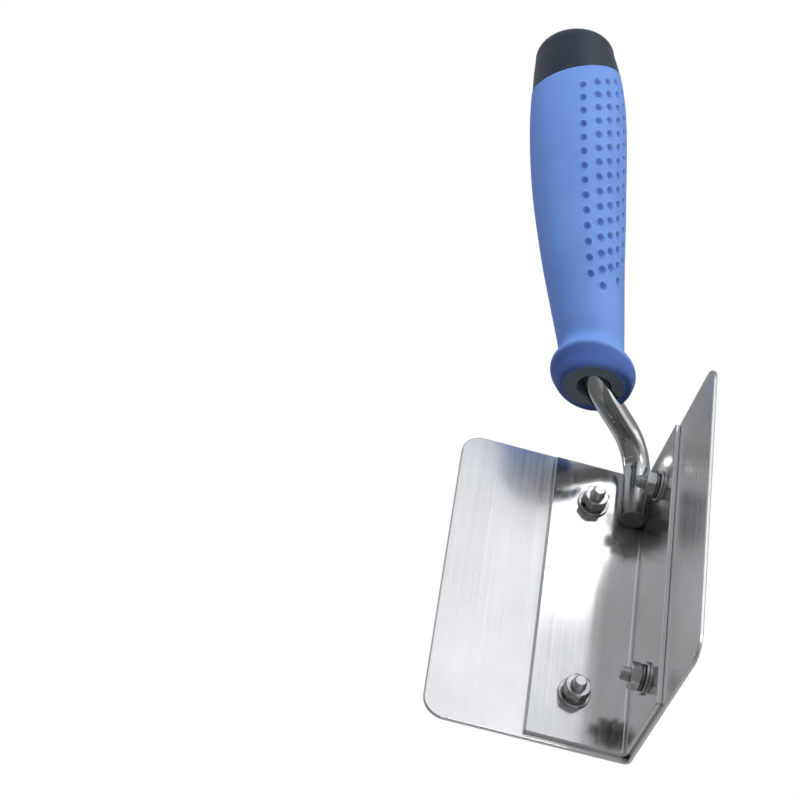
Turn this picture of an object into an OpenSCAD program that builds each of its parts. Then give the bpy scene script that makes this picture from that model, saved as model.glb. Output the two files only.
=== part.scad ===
// Inside corner trowel: a thin L-shaped blade clamped under a stiffer angle bracket,
// a bent round tang welded into the bracket, and an overmoulded two-colour handle.
// +Z runs up the bend of the blade, +Y points into the wall corner, the user is at -Y.
// The origin is on the blade's lower edge, in the middle of the sheet at the bend.

/* [Blade] */
// Height of the blade along its bend
blade_h = 100; // [90:1:120]
// Width of each leg, from the outer corner
blade_w = 60; // [55:1:80]
// Thickness of the blade sheet
blade_t = 1.2; // [0.8:0.1:1.5]
// Radius of the four free corners
blade_corner_r = 6.5; // [3:0.5:10]
// Inner radius of the 90 degree bend, in both sheets
bend_r = 0.8; // [0.5:0.1:1.2]

/* [Bracket] */
// Width of each bracket leg, from the corner of the blade
bracket_w = 31; // [28:1:40]
// Thickness of the bracket sheet
bracket_t = 1.5; // [1.2:0.1:2]
// Height of the bracket's lower edge above the blade's
bracket_bottom = 1.5; // [0:0.5:4]
// Height of the bracket's upper edge below the blade's
bracket_top_gap = 1; // [0:0.5:4]

/* [Screws] */
// Distance of the screws from the blade's outer corner
screw_x = 18.4; // [17:0.2:22]
// Height of the lower pair of screws
screw_low_z = 17; // [12:1:30]
// Height of the upper pair of screws
screw_high_z = 84.5; // [70:0.5:86]
// Nominal thread diameter
thread_d = 4; // [3:1:4]
// Overall length of a screw, head included
screw_len = 10; // [9:0.5:12]
// Width across the flats of a nut
nut_af = 7; // [5.5:0.5:7]
// Height of a nut
nut_h = 3; // [2.2:0.1:3.2]
// Outer diameter of a flat washer
washer_d = 9.5; // [8:0.5:10]
// Thickness of a flat washer
washer_t = 0.8; // [0.5:0.1:1]
// Outer diameter of a spring washer
spring_d = 7.6; // [6:0.2:8]
// Thickness of a spring washer
spring_t = 0.9; // [0.6:0.1:1.1]

/* [Tang] */
// Diameter of the round bar
rod_d = 8; // [7:0.5:9]
// Height of the bar's cut lower end
rod_bottom_z = 79; // [70:1:85]
// Height at which the bar turns away from the corner
rod_turn_z = 105.7; // [104:0.1:110]
// Reach of the sloping stretch towards the user
rod_reach = 30.4; // [29:0.1:36]
// Radius of the bends, to the middle of the bar
rod_bend_r = 12; // [10:0.5:13]
// Length of the straight end inside the handle
rod_inside = 80; // [60:1:85]

/* [Handle] */
// Length of the handle from the bar's upper turn
handle_len = 127.6; // [124:0.1:137]
// Radius of the neck behind the front collar
neck_r = 10; // [9.8:0.1:11]
// Radius of the belly
belly_r = 15.4; // [14:0.1:17]
// Radius of the front collar
collar_r = 12.9; // [12:0.1:15]
// Distance of the front face in front of the bar's upper turn
face_at = 2.4; // [0:0.1:3]
// Slope of the front face, longer on the side away from the user
face_slope = 14; // [0:1:18]
// Slope of the collar, to the same side
collar_slope = 24; // [14:1:26]
// Radius of the core where it shows in the front face
core_front_r = 9.1; // [8:0.1:9.2]
// Distance of the end cap's joint along the handle
cap_joint = 105.1; // [102:0.1:108]
// Slope of the end cap's joint
cap_slope = 10; // [0:1:12]

/* [Hidden] */
$fn = 64;

LEFT = -1;
RIGHT = 1;
LOW = screw_low_z;
HIGH = screw_high_z;
far = 60; // size of a cutting block, larger than anything that it cuts

// The sharp outer corner of the blade lies this far in front of the origin
corner_y = (blade_t + bend_r) * (sqrt(2) - 1) + blade_t / 2;
sheets_t = blade_t + bracket_t;
bracket_h = blade_h - bracket_top_gap - bracket_bottom;

// Screws: a 90 degree head that sinks through the blade into the bracket
head_r = 3.8;
head_h = head_r - thread_d / 2;
hole_play = 0.15;
screw_chamfer = 0.5;
drive_w = 1;
drive_depth = 1;

// Tang: the bar turns 82 degrees towards the user and then 66 degrees back into the
// handle. The sines and cosines of both angles are close to 6 digits, so that rounded
// matrices still join the bends and the straight stretches.
rod_bend = 81.9205;
turn_back = 65.6567;
handle_tilt = rod_bend - turn_back;

// The bar touches both inner faces of the bracket
rod_r = rod_d / 2;
rod_y = corner_y - (sheets_t + rod_r) * sqrt(2);
first_tangent = rod_bend_r * tan(rod_bend / 2);
second_tangent = rod_bend_r * tan(turn_back / 2);
slope_len = rod_reach / sin(rod_bend) - first_tangent - second_tangent;
mouth_y = rod_y - rod_reach;
mouth_z = rod_turn_z + rod_reach / tan(rod_bend);
rod_straight = rod_turn_z - first_tangent - rod_bottom_z;
way_play = 0.4; // room round the bar where it leaves the handle
wing_w = 11;
wing_t = 2;
wing_len = 12;
wing_gap = 8;

// Weld beads along both sides of the bar
bead_r = 1.9;
bead_out = rod_r + sheets_t + 1.4;
bead_h = 0.4;

// Handle outline: the neck widens into the belly and narrows to the rounded end
belly_at = 91.1;
neck_at = 11.1;
shoulder_at = 120.1;
shoulder_r = 12.2;
end_r = 5;
front_over = 12; // length added in front of the mouth, for the sloping face to cut
lip_r = 2;
lip_at = 2.1;
dome_r = 9.3;
dome_at = -4.1;
collar_len = 9.1;
cap_wall = 2.8;
stub_r = 11.9;
stub_end = 117;
core_wall_neck = 1;
core_wall_belly = 2.6;
recess_r = 5.2;
recess_depth = 1.6;
steps = 24;

// Half a wave from a to b as u runs from 0 to 1
function ease(a, b, u) = a + (b - a) * (1 - cos(180 * u)) / 2;
function along(a, b, u) = a + (b - a) * u;

// Points of an arc in the profile plane
function arc(x, y, r, a0, a1, n) =
    [for (i = [0:n]) [x + r * cos(along(a0, a1, i / n)), y + r * sin(along(a0, a1, i / n))]];

// Radius of the handle at a distance w along it, up to the shoulder
function handle_r(w) =
    w < neck_at ? neck_r
    : w < belly_at ? neck_r + (belly_r - neck_r) * sin(90 * (w - neck_at) / (belly_at - neck_at))
    : belly_r - (belly_r - shoulder_r) * pow((w - belly_at) / (shoulder_at - belly_at), 2);

function core_wall(w) =
    w < neck_at ? core_wall_neck
    : ease(core_wall_neck, core_wall_belly, min(1, (w - neck_at) / 40));

// ---------- placing ----------

// Leg frame: X runs out along the leg, Y points out of its working face
module on_leg(side) {
    mirror([side < 0 ? 1 : 0, 0, 0])
        translate([0, corner_y, 0]) rotate([0, 0, -45]) children();
}

// Screw frame: Z runs from the working face towards the user, 0 on the working face
module at_screw(side, z) {
    on_leg(side) translate([screw_x, 0, z]) rotate([90, 0, 0]) children();
}

// Handle frame: Z runs up the handle from the bar's upper turn, the user is at -Y
module at_handle() {
    translate([0, mouth_y, mouth_z]) rotate([handle_tilt, 0, 0]) children();
}

// ---------- sheet metal ----------

// Quarter ring that joins the two legs of a bent sheet
module bend(thickness, depth, bottom, height) {
    r_out = thickness + bend_r;
    on_leg(RIGHT)
        translate([depth, -depth, bottom])
            linear_extrude(height)
                intersection() {
                    difference() {
                        translate([r_out, -r_out]) circle(r_out);
                        translate([r_out, -r_out]) circle(bend_r);
                    }
                    translate([0, -r_out]) square(r_out);
                }
}

// Outline of one leg in its own plane, rounded at its free corners
module leg_outline(start, width, height, corner) {
    translate([start, 0]) square([width - corner - start, height]);
    translate([start, corner]) square([width - start, height - 2 * corner]);
    for (z = [corner, height - corner])
        translate([width - corner, z]) circle(corner);
}

// Conical seat and clearance hole for a screw
module screw_hole() {
    hole_r = thread_d / 2 + hole_play;
    rotate_extrude()
        polygon([
            [0, -1],
            [hole_r + head_h + 1, -1],
            [hole_r, head_h],
            [hole_r, far / 4],
            [0, far / 4]
        ]);
}

module sheet(width, thickness, depth, bottom, height, corner) {
    difference() {
        union() {
            bend(thickness, depth, bottom, height);
            for (side = [LEFT, RIGHT])
                on_leg(side)
                    translate([0, -depth, bottom]) rotate([90, 0, 0])
                        linear_extrude(thickness)
                            leg_outline(depth + thickness + bend_r, width, height, corner);
        }
        for (side = [LEFT, RIGHT], z = [LOW, HIGH]) at_screw(side, z) screw_hole();
    }
}

module blade() {
    color("silver") sheet(blade_w, blade_t, 0, 0, blade_h, blade_corner_r);
}

module bracket() {
    color("lightgray") sheet(bracket_w, bracket_t, blade_t, bracket_bottom, bracket_h, 0.5);
}

// ---------- tang and welds ----------

// Bend towards -Y of a bar that runs along +Z
module bar_bend(angle, r = rod_r) {
    translate([0, -rod_bend_r, 0]) rotate([90, 0, 90])
        rotate_extrude(angle = angle) translate([rod_bend_r, 0]) circle(r);
}

module past_bend(angle) {
    translate([0, -rod_bend_r, 0]) rotate([angle, 0, 0])
        translate([0, rod_bend_r, 0]) children();
}

module tang_inside() {
    cylinder(r = rod_r, h = rod_inside);
    translate([-wing_w / 2, -wing_t / 2, rod_inside - wing_gap - wing_len])
        cube([wing_w, wing_t, wing_len]);
}

module tang() {
    color("gainsboro")
        translate([0, rod_y, rod_bottom_z]) {
            cylinder(r = rod_r, h = rod_straight);
            translate([0, 0, rod_straight]) {
                bar_bend(rod_bend);
                past_bend(rod_bend) {
                    cylinder(r = rod_r, h = slope_len);
                    translate([0, 0, slope_len]) rotate([0, 0, 180]) {
                        bar_bend(turn_back);
                        past_bend(turn_back) tang_inside();
                    }
                }
            }
        }
}

// Fillet between the bar and one leg of the bracket
module weld(side) {
    color("dimgray")
        difference() {
            on_leg(side)
                translate([bead_out, -sheets_t - bead_h, rod_bottom_z])
                    cylinder(r = bead_r, h = rod_straight);
            on_leg(side)
                translate([0, -sheets_t, 0]) cube([far, far, 2 * far]);
            on_leg(side)
                translate([0, -far, 0]) cube([sheets_t + rod_r + 0.2, 2 * far, 2 * far]);
            translate([0, rod_y, 0]) cylinder(r = rod_r, h = 2 * far);
        }
}

module weld_left() weld(LEFT);

module weld_right() weld(RIGHT);

// ---------- handle ----------

// Outline of the handle from in front of the mouth to the rounded end
module handle_outline() {
    end_y = handle_len - end_r;
    polygon(concat(
        [[0, -front_over]],
        [for (i = [0:steps]) let (w = along(-front_over, belly_at, i / steps)) [handle_r(w), w]],
        [for (i = [1:steps / 2]) let (w = along(belly_at, shoulder_at, i * 2 / steps)) [handle_r(w), w]],
        arc(shoulder_r - end_r - 0.9, end_y - 0.6, end_r, 25, 78, 8),
        [[0, handle_len]]
    ));
}

// Space that the core fills, without the bore
module core_solid() {
    rotate_extrude() {
        polygon(concat(
            [[0, -front_over], [core_front_r, -front_over]],
            [for (i = [0:steps]) let (w = along(neck_at, cap_joint, i / steps))
                [handle_r(w) - core_wall(w), w]],
            [[0, cap_joint]]
        ));
        translate([0, cap_joint - 5]) square([stub_r, stub_end - cap_joint + 5]);
    }
}

// Everything in front of the sloping face
module front_cut() {
    translate([0, 0, -face_at]) rotate([-face_slope, 0, 0])
        translate([-far, -far, -far]) cube([2 * far, 2 * far, far]);
}

// The bar's way out of the handle, with room round it: its bend and its sloping stretch
module bar_way() {
    r = rod_r + way_play;
    translate([0, 0, second_tangent]) rotate([180, 0, 0]) {
        bar_bend(turn_back, r);
        past_bend(turn_back) cylinder(r = r, h = far / 2);
    }
}

// Everything on the cap's side of its sloping joint
module cap_side() {
    translate([0, 0, cap_joint]) rotate([cap_slope, 0, 0])
        translate([-far, -far, 0]) cube([2 * far, 2 * far, far]);
}

// Flared collar with a domed front, which the sloping face cuts flat
module collar() {
    rotate([-collar_slope, 0, 0])
        rotate_extrude()
            polygon(concat(
                [[0, dome_at], [dome_r, dome_at]],
                arc(collar_r - lip_r, lip_at, lip_r, -30, 40, 10),
                arc(collar_r + 2.1, collar_len + 0.5, neck_r * 0.52, 232, 182, 8),
                [[0, collar_len]]
            ));
}

module grip() {
    color("cornflowerblue")
        at_handle()
            difference() {
                union() {
                    rotate_extrude() handle_outline();
                    collar();
                }
                front_cut();
                cap_side();
                core_solid();
                bar_way();
            }
}

module handle_core() {
    color("darkslategray")
        at_handle()
            difference() {
                core_solid();
                front_cut();
                bar_way();
                translate([0, 0, -front_over]) cylinder(r = recess_r, h = front_over + recess_depth);
                cylinder(r = rod_r, h = second_tangent + rod_inside);
                translate([-wing_w / 2, -wing_t / 2, second_tangent + rod_inside - wing_gap - wing_len])
                    cube([wing_w, wing_t, wing_len]);
            }
}

module end_cap() {
    color("black")
        at_handle()
            difference() {
                intersection() {
                    rotate_extrude() handle_outline();
                    cap_side();
                }
                core_solid();
            }
}

// ---------- screws, washers and nuts ----------

module screw(side, z) {
    color("whitesmoke")
        at_screw(side, z)
            difference() {
                rotate_extrude()
                    polygon([
                        [0, 0],
                        [head_r, 0],
                        [thread_d / 2, head_h],
                        [thread_d / 2, screw_len - screw_chamfer],
                        [thread_d / 2 - screw_chamfer, screw_len],
                        [0, screw_len]
                    ]);
                for (a = [0, 90])
                    rotate([0, 0, a + 20])
                        translate([-head_r * 0.55, -drive_w / 2, -1])
                            cube([head_r * 1.1, drive_w, drive_depth + 1]);
            }
}

module flat_washer(side, z) {
    color("silver")
        at_screw(side, z)
            translate([0, 0, sheets_t])
                difference() {
                    cylinder(r = washer_d / 2, h = washer_t);
                    translate([0, 0, -1]) cylinder(r = thread_d / 2 + hole_play, h = washer_t + 2);
                }
}

// Split ring with a slanted gap
module spring_washer(side, z) {
    gap = 0.8;
    color("gray")
        at_screw(side, z)
            translate([0, 0, sheets_t + washer_t])
                difference() {
                    cylinder(r = spring_d / 2, h = spring_t);
                    translate([0, 0, -1]) cylinder(r = thread_d / 2 + hole_play, h = spring_t + 2);
                    rotate([35, 0, 35]) translate([0, -gap / 2, -far / 8])
                        cube([spring_d, gap, far / 4]);
                }
}

module nut(side, z, turn) {
    corner_r = nut_af / 2 / cos(30);
    bevel = corner_r - nut_af / 2 + 0.15;
    color("whitesmoke")
        at_screw(side, z)
            translate([0, 0, sheets_t + washer_t + spring_t])
                rotate([0, 0, turn]) difference() {
                    intersection() {
                        rotate([0, 0, 25]) cylinder(r = corner_r, h = nut_h, $fn = 6);
                        rotate_extrude()
                            polygon([
                                [0, 0],
                                [nut_af / 2 - 0.15, 0],
                                [corner_r, bevel * 0.6],
                                [corner_r, nut_h - bevel * 0.6],
                                [nut_af / 2 - 0.15, nut_h],
                                [0, nut_h]
                            ]);
                    }
                    translate([0, 0, -1]) cylinder(r = thread_d / 2, h = nut_h + 2);
                }
}

blade();
bracket();
tang();
weld_left();
weld_right();
handle_core();
grip();
end_cap();
screw(LEFT, HIGH);  // screw_left_upper
screw(LEFT, LOW);  // screw_left_lower
screw(RIGHT, HIGH);  // screw_right_upper
screw(RIGHT, LOW);  // screw_right_lower
flat_washer(LEFT, HIGH);  // flat_washer_left_upper
flat_washer(LEFT, LOW);  // flat_washer_left_lower
flat_washer(RIGHT, HIGH);  // flat_washer_right_upper
flat_washer(RIGHT, LOW);  // flat_washer_right_lower
spring_washer(LEFT, HIGH);  // spring_washer_left_upper
spring_washer(LEFT, LOW);  // spring_washer_left_lower
spring_washer(RIGHT, HIGH);  // spring_washer_right_upper
spring_washer(RIGHT, LOW);  // spring_washer_right_lower
nut(LEFT, HIGH, -13);  // nut_left_upper
nut(LEFT, LOW, 15);  // nut_left_lower
nut(RIGHT, HIGH, 0);  // nut_right_upper
nut(RIGHT, LOW, -20);  // nut_right_lower
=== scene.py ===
"""Looks of the inside corner trowel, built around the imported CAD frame.

Row frame, in metres: Z runs up the blade's bend, -Y is the user's side, X crosses the two legs.
Lengths below are in millimetres and become metres where a mesh is made.
"""
import math
import random

import bpy
from mathutils import Matrix, Vector


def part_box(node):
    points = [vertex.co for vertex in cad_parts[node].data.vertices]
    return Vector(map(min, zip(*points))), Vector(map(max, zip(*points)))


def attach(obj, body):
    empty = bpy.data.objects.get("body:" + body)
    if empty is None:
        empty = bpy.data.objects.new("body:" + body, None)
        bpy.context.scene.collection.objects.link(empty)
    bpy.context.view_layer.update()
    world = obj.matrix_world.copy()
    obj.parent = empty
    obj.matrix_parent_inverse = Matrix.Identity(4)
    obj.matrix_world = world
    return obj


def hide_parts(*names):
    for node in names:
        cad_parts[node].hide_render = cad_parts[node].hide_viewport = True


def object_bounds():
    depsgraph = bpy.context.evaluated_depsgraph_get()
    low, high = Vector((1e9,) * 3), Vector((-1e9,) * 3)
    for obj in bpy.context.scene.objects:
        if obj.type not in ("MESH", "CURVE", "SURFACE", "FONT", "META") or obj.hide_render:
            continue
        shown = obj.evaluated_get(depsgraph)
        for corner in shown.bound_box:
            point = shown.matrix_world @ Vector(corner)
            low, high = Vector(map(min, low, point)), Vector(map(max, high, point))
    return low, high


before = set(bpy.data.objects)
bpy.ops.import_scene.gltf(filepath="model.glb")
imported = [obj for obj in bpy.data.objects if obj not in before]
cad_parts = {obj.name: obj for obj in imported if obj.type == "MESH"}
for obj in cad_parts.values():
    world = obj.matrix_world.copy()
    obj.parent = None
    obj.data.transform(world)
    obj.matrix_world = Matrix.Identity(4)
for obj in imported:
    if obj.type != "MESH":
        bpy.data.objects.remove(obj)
cad_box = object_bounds()

MM = 0.001
LEFT, RIGHT = -1, 1
SIDES = {"left": LEFT, "right": RIGHT}
HALF_SQRT2 = math.sqrt(0.5)


# ---------- sizes, from the frame where it holds them ----------

def in_mm(vector):
    return vector / MM


BLADE_HIGH = in_mm(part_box("blade")[1])
BRACKET_LOW, BRACKET_HIGH = (in_mm(v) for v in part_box("bracket"))
TANG_LOW = in_mm(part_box("tang")[0])

BLADE_H = BLADE_HIGH.z
BLADE_W = BLADE_HIGH.x * math.sqrt(2)
BLADE_T = 1.2
BLADE_CORNER_R = 6.5
BLADE_EDGE_R = 0.35
BEND_R = 0.8
BRACKET_T = 1.5
BRACKET_W = 31.0
BRACKET_CORNER_R = 0.6
BRACKET_EDGE_R = 0.3
SHEET_GAP = 0.01
SHEETS_T = BLADE_T + BRACKET_T
# Keeps the faceted bend inside the true curve
FACET_PLAY = 0.007
# The blade's outer corner, if its bend were sharp
CORNER_Y = (BLADE_T + BEND_R) * (math.sqrt(2) - 1) + BLADE_T / 2

SCREW_X = 18.4
SCREW_LEN = 10.0
THREAD_R = 2.0
THREAD_PITCH = 0.7
HEAD_R = 3.8
WASHER_R = 4.75
WASHER_T = 0.8
SPRING_R = 3.8
SPRING_T = 0.9
NUT_AF = 7.0
NUT_H = 3.0
NUT_TURNS = {"left_upper": 12, "left_lower": 40, "right_upper": 25, "right_lower": 5}
CROSS_TURN = 20
CROSS_TOP = 2.45
CROSS_LOW = 0.9
CROSS_HALF_W = 0.42
CROSS_DEEP = 1.25

ROD_R = 4.0
ROD_CHAMFER = 0.35
ROD_BEND_R = 12.0
ROD_TURN_Z = 105.7
ROD_REACH = 30.4
ROD_BEND = math.radians(81.9205)
TURN_BACK = math.radians(65.6567)
TILT = ROD_BEND - TURN_BACK
ROD_INSIDE = 80.0
WAY_PLAY = 0.4
ROD_Y = CORNER_Y - (SHEETS_T + ROD_R) * math.sqrt(2)
MOUTH_Y = ROD_Y - ROD_REACH
MOUTH_Z = ROD_TURN_Z + ROD_REACH / math.tan(ROD_BEND)

NECK_R = 10.0
BELLY_R = 15.4
BELLY_AT = 91.1
NECK_AT = 11.1
SHOULDER_AT = 120.1
SHOULDER_R = 12.2
DOME_FROM = 116.0
DOME_TOP = 124.8
DOME_SQUARENESS = 2.4
COLLAR_R = 12.9
LIP_R = 2.0
LIP_AT = 2.1
LIP_START = math.radians(-30)
LIP_ARC = math.radians(75)
FLARE_END = 13.5
# Rows of the grip's mesh lie closer together where the dimples are
DIMPLES_FROM = 24
PLAIN_STEP = 0.7
DIMPLED_STEP = 0.32
COLLAR_SLOPE = math.radians(24)
FACE_AT = 2.4
FACE_SLOPE = math.radians(14)
CORE_R = 9.1
# Radius of the grip's lining and of the cap's rim inside their joint
SPIGOT_R = 12.2
CAP_GROOVE = 0.14
CAP_JOINT = 105.1
CAP_SLOPE = math.radians(10)

DIMPLE_R = 1.3
DIMPLE_DEPTH = 0.85
DIMPLE_RIM = 0.16
# How strongly painted shade darkens the collar's front face
FACE_SHADE = 0.75
DIMPLE_PITCH = 5.2
DIMPLE_FIRST = 29.1
# Angle from the user's side, shift along the handle, number of dimples
DIMPLE_COLUMNS = ((33.7, 0.0, 14), (52.7, -3.5, 15), (68.4, 3.1, 14), (84.0, -0.4, 15), (98.5, 7.8, 13))

# Light of the studio along each axis of the direction: place from -1 to 1, grey value
FRONT_LIGHT = ((-1, 0.28), (-0.16, 0.28), (0.08, 0.45), (0.36, 0.60), (0.60, 0.80), (1, 0.55))
SIDE_LIGHT = ((-1, 0.45), (-0.4, 0.42), (0.36, 0.50), (0.64, 0.94), (1, 1.0))
BACK_LIGHT = ((-1, 0.30), (0, 0.34), (0.25, 0.30), (0.56, 0.18), (1, 0.30))
FRONT_TO_BACK = ((-0.1, 0.0), (0.4, 1.0))
STUDIO_TINT = (0.97, 0.985, 1.0)
STUDIO_STRENGTH = 1.35
PANEL_DISTANCE = 1.6
FLOOR_HALF = 1.1

CAMERA_LENS = 92.1
CAMERA_PLACE = (0.2422, -0.4295, -0.2963)
CAMERA_AZIMUTH = math.radians(38.73)
CAMERA_ELEVATION = math.radians(-40.12)
CAMERA_ROLL = math.radians(10.55)


# ---------- small helpers ----------

def lerp(a, b, u):
    return a + (b - a) * u


def smooth(a, b, x):
    u = min(1.0, max(0.0, (x - a) / (b - a)))
    return u * u * (3 - 2 * u)


def new_mesh(name, points, faces):
    """A mesh from points in millimetres."""
    mesh = bpy.data.meshes.new(name)
    mesh.from_pydata([tuple(c * MM for c in p) for p in points], [], faces)
    return mesh


def mesh_piece(name, points, faces):
    """A smooth mesh object from points in millimetres, riding on the one body."""
    mesh = new_mesh(name, points, faces)
    mesh.validate()
    piece = bpy.data.objects.new(name, mesh)
    bpy.context.scene.collection.objects.link(piece)
    for polygon in mesh.polygons:
        polygon.use_smooth = True
    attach(piece, "root")
    return piece


def grid(rows, columns):
    """Quads between neighbouring rows, each row a ring of points."""
    faces = []
    for r in range(rows - 1):
        low, high = r * columns, (r + 1) * columns
        for c in range(columns):
            d = (c + 1) % columns
            faces.append((low + c, low + d, high + d, high + c))
    return faces


def round_trip(rows, columns):
    """Quads between neighbouring rows and from the last row back to the first."""
    faces = []
    for r in range(rows):
        low, high = r * columns, (r + 1) % rows * columns
        for c in range(columns):
            d = (c + 1) % columns
            faces.append((low + d, low + c, high + c, high + d))
    return faces


def capped(rings):
    """Points and faces of a closed skin through rings, with a flat cap at each end."""
    columns = len(rings[0])
    points = [p for ring in rings for p in ring]
    faces = grid(len(rings), columns)
    faces.append(tuple(reversed(range(columns))))
    last = (len(rings) - 1) * columns
    faces.append(tuple(range(last, last + columns)))
    return points, faces


def tube(name, rings):
    return mesh_piece(name, *capped(rings))


def weighted(piece, angle=40):
    """Sharp creases above an angle, and normals that follow the large faces."""
    piece.data.set_sharp_from_angle(angle=math.radians(angle))
    modifier = piece.modifiers.new("normals", "WEIGHTED_NORMAL")
    modifier.keep_sharp = True
    return piece


def finish_piece(piece, material, slot, *nodes):
    piece.data.materials.clear()
    piece.data.materials.append(material)
    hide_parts(*nodes)
    return piece


# ---------- materials ----------

class Shader:
    """A node material with short calls for the nodes used here."""

    def __init__(self, name):
        self.material = bpy.data.materials.new(name)
        self.material.use_nodes = True
        self.nodes = self.material.node_tree.nodes
        self.links = self.material.node_tree.links
        self.nodes.clear()
        self.out = self.nodes.new("ShaderNodeOutputMaterial")
        self.bsdf = self.nodes.new("ShaderNodeBsdfPrincipled")
        self.links.new(self.bsdf.outputs["BSDF"], self.out.inputs["Surface"])
        self.coords = self.nodes.new("ShaderNodeTexCoord").outputs["Object"]

    def set(self, **values):
        for key, value in values.items():
            self.bsdf.inputs[key.replace("_", " ")].default_value = value

    def link(self, socket, name):
        self.links.new(socket, self.bsdf.inputs[name])

    def mapped(self, scale=(1, 1, 1), turn=(0, 0, 0), shift=(0, 0, 0)):
        node = self.nodes.new("ShaderNodeMapping")
        node.inputs["Scale"].default_value = scale
        node.inputs["Rotation"].default_value = turn
        node.inputs["Location"].default_value = shift
        self.links.new(self.coords, node.inputs["Vector"])
        return node.outputs["Vector"]

    def noise(self, scale, vector=None, detail=4.0, rough=0.55, distortion=0.0):
        node = self.nodes.new("ShaderNodeTexNoise")
        node.inputs["Scale"].default_value = scale
        node.inputs["Detail"].default_value = detail
        node.inputs["Roughness"].default_value = rough
        node.inputs["Distortion"].default_value = distortion
        self.links.new(vector or self.coords, node.inputs["Vector"])
        return node.outputs["Fac"]

    def voronoi(self, scale, vector=None, feature="F1"):
        node = self.nodes.new("ShaderNodeTexVoronoi")
        node.feature = feature
        node.inputs["Scale"].default_value = scale
        self.links.new(vector or self.coords, node.inputs["Vector"])
        return node.outputs["Distance"]

    def ramp(self, fac, stops):
        node = self.nodes.new("ShaderNodeValToRGB")
        elements = node.color_ramp.elements
        for element, (place, colour) in zip(elements, stops):
            element.position, element.color = place, colour
        for place, colour in stops[2:]:
            elements.new(place).color = colour
        self.links.new(fac, node.inputs["Fac"])
        return node.outputs["Color"]

    def range(self, fac, low, high, to_low, to_high):
        node = self.nodes.new("ShaderNodeMapRange")
        for key, value in zip(("From Min", "From Max", "To Min", "To Max"), (low, high, to_low, to_high)):
            node.inputs[key].default_value = value
        self.links.new(fac, node.inputs["Value"])
        return node.outputs["Result"]

    def math(self, operation, a, b=None):
        node = self.nodes.new("ShaderNodeMath")
        node.operation = operation
        for value, socket in zip((a, b), node.inputs):
            if isinstance(value, (int, float)):
                socket.default_value = value
            elif value is not None:
                self.links.new(value, socket)
        return node.outputs["Value"]

    def mix(self, fac, a, b, blend="MIX"):
        node = self.nodes.new("ShaderNodeMix")
        node.data_type = "RGBA"
        node.blend_type = blend
        for value, key in ((fac, 0), (a, 6), (b, 7)):
            if isinstance(value, (int, float, tuple)):
                node.inputs[key].default_value = value
            else:
                self.links.new(value, node.inputs[key])
        return node.outputs[2]

    def bump(self, height, strength, distance=0.001, after=None):
        node = self.nodes.new("ShaderNodeBump")
        node.inputs["Strength"].default_value = strength
        node.inputs["Distance"].default_value = distance
        self.links.new(height, node.inputs["Height"])
        if after is not None:
            self.links.new(after, node.inputs["Normal"])
        return node.outputs["Normal"]

    def distance_to(self, point):
        node = self.nodes.new("ShaderNodeVectorMath")
        node.operation = "DISTANCE"
        self.links.new(self.coords, node.inputs[0])
        node.inputs[1].default_value = tuple(c * MM for c in point)
        return node.outputs["Value"]


def grey(value, tint=(1, 1, 1)):
    return (value * tint[0], value * tint[1], value * tint[2], 1)


def sheet_steel(name, level, rough_low, rough_high, brush, tint_at=None):
    """Rolled stainless sheet: fine lines along Z, clouds, slanting scratches and a slight waviness.

    Around tint_at, in millimetres, the sheet is dulled by the heat of the weld.
    """
    s = Shader(name)
    lines = s.noise(1.0, s.mapped((5200, 5200, 26)), 3.0)
    soft_lines = s.noise(1.0, s.mapped((900, 900, 5)), 2.0)
    patches = s.noise(30, detail=4.0, distortion=0.6)
    scratches = s.noise(1.0, s.mapped((70, 70, 5200), (0.35, 0.5, 0.2)), 2.0)
    scratch_mask = s.range(scratches, 0.69, 0.73, 0, 1)
    colour = s.mix(s.range(patches, 0.35, 0.65, 0, 1), grey(level * 0.90), grey(level * 1.05))
    colour = s.mix(s.range(lines, 0.35, 0.7, 0, 0.35), colour, grey(level * 0.78))
    rough = s.range(soft_lines, 0.3, 0.7, rough_low, rough_high)
    rough = s.math("ADD", rough, s.range(patches, 0.35, 0.65, -0.02, 0.03))
    rough = s.math("ADD", rough, s.math("MULTIPLY", scratch_mask, 0.06))
    if tint_at is not None:
        ragged = s.range(s.noise(210, detail=5.0), 0.2, 0.8, -0.003, 0.003)
        reach = s.math("ADD", s.distance_to(tint_at), ragged)
        burn = s.ramp(s.range(reach, 0.003, 0.010, 0, 1), [
            (0.0, (0.62, 0.62, 0.62, 1)),
            (0.35, (0.74, 0.74, 0.73, 1)),
            (0.65, (0.88, 0.88, 0.87, 1)),
            (1.0, (1, 1, 1, 1)),
        ])
        colour = s.mix(1.0, colour, burn, "MULTIPLY")
        rough = s.math("ADD", rough, s.range(reach, 0.003, 0.010, 0.30, 0))
    s.link(colour, "Base Color")
    s.link(rough, "Roughness")
    s.set(Metallic=1.0)
    normal = s.bump(lines, brush, 0.00002)
    normal = s.bump(scratch_mask, 0.04, 0.00002, normal)
    waviness = s.noise(22, detail=1.0)
    s.link(s.bump(waviness, 0.25, 0.0006, normal), "Normal")
    return s.material


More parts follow.
